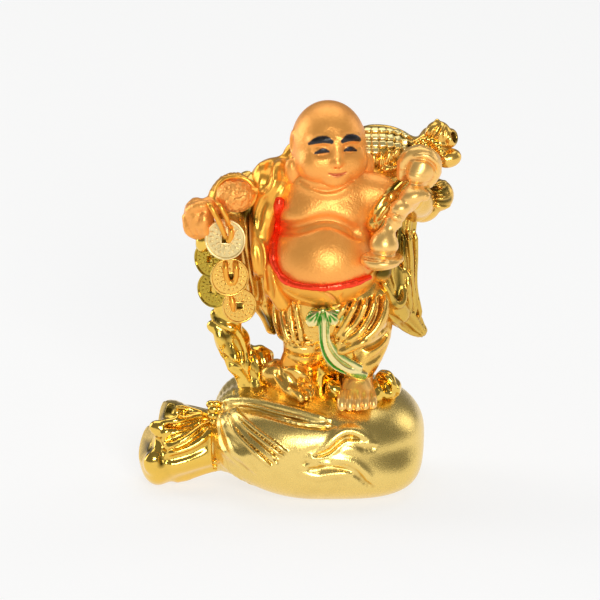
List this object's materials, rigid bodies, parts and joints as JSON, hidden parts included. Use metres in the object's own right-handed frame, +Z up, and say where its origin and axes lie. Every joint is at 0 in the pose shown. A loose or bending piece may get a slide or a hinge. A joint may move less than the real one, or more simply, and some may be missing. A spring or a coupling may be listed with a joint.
{
  "type": "budai figurine",
  "caption": "Cast figurine of a laughing monk standing on a lying tied sack, with a string of coins, a sceptre and a bag over one shoulder.",
  "frame": {"origin": "middle of the object's bounding box, on the flat underside of the sack", "axes": "+Z up from the sack to the crown of the head; the figure faces -Y; +X towards the sceptre and the shoulder bag, away from the sack's mouth"},
  "size_m": [0.0822, 0.0484, 0.1042],
  "materials": {
    "gold": "cast resin plated bright gold, with dark reflections in the hollows",
    "satin_gold": "cast resin with a satin gold coat of fine grain, on the sack",
    "skin_gold": "pearly orange gold lacquer on the skin",
    "red_paint": "glossy red enamel on the robe's hem, brushed by hand",
    "green_paint": "green enamel in the hollows of the sash",
    "black_paint": "black enamel on the brows and eyes"
  },
  "bodies": {
    "root": {"budai_figure": "gold"}
  },
  "joints": []
}
